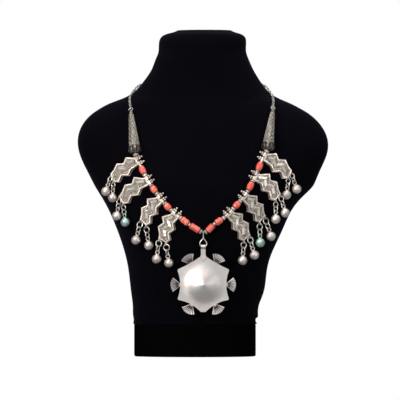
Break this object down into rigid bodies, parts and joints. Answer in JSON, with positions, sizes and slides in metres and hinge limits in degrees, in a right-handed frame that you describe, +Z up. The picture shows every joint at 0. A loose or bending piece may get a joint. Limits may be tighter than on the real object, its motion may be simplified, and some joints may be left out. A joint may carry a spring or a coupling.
{
  "type": "coral bead necklace on a neck bust",
  "caption": "Folk necklace on a plain velvet neck bust: coral and silver beads, zigzag plates with ball bells, and a star pendant with fluted fans.",
  "frame": {"origin": "centre of the bounding box at its bottom, on the surface the plinth stands on", "axes": "+Z up, -Y forward (towards the viewer of the necklace), +X to the viewer's right"},
  "size_m": [0.2761, 0.1369, 0.3593],
  "materials": {
    "velvet": "black velvet pile, matt with a faint violet sheen",
    "plinth_black": "plain black cloth cover, matt",
    "station_silver": "aged low-grade silver, warm grey, dark in its recesses",
    "cone_silver": "aged silver, darker olive grey, granulated",
    "bead_silver": "worn silver",
    "wire_silver": "drawn silver wire, worn",
    "chain_silver": "worn silver chain",
    "bell_silver": "matt grey-brown silver",
    "bell_patina": "matt silver with a green patina",
    "pendant_silver": "bright silver with fine concentric scratches",
    "coral": "polished salmon-red coral",
    "thread": "waxed cotton thread"
  },
  "bodies": {
    "root": {"neck_bust": "velvet", "bust_plinth": "plinth_black", "neck_chain": "chain_silver", "chain_hook": "wire_silver", "cone_ring": "wire_silver", "cone_left": "cone_silver", "cone_right": "cone_silver", "spacer_beads_left": "bead_silver", "spacer_beads_right": "bead_silver", "bead_thread": "thread", "centre_link": "wire_silver", "coral_l1": "coral", "coral_l2": "coral", "coral_l3": "coral", "coral_l4": "coral", "coral_l5": "coral", "coral_r1": "coral", "coral_r2": "coral", "coral_r3": "coral", "coral_r4": "coral", "coral_r5": "coral", "station_l1": "station_silver", "bell_rings_l1": "wire_silver", "bell_l1_outer": "bell_silver", "bell_l1_inner": "bell_silver", "station_l2": "station_silver", "bell_rings_l2": "wire_silver", "bell_l2_outer": "bell_silver", "bell_l2_inner": "bell_patina", "station_l3": "station_silver", "bell_rings_l3": "wire_silver", "bell_l3_outer": "bell_silver", "bell_l3_inner": "bell_silver", "station_l4": "station_silver", "bell_rings_l4": "wire_silver", "bell_l4_outer": "bell_silver", "bell_l4_inner": "bell_silver", "station_r1": "station_silver", "bell_rings_r1": "wire_silver", "bell_r1_outer": "bell_silver", "bell_r1_inner": "bell_silver", "station_r2": "station_silver", "bell_rings_r2": "wire_silver", "bell_r2_outer": "bell_silver", "bell_r2_inner": "bell_silver", "station_r3": "station_silver", "bell_rings_r3": "wire_silver", "bell_r3_outer": "bell_silver", "bell_r3_inner": "bell_patina", "station_r4": "station_silver", "bell_rings_r4": "wire_silver", "bell_r4_outer": "bell_silver", "bell_r4_inner": "bell_silver"},
    "pendant": {"pendant": "pendant_silver"}
  },
  "joints": [
    {"name": "pendant_swing", "type": "hinge", "parent": "root", "child": "pendant", "pos_m": [0.00025, -0.06254, 0.12128], "axis": [-1, 0, 0], "range_deg": [-10, 75]}
  ]
}
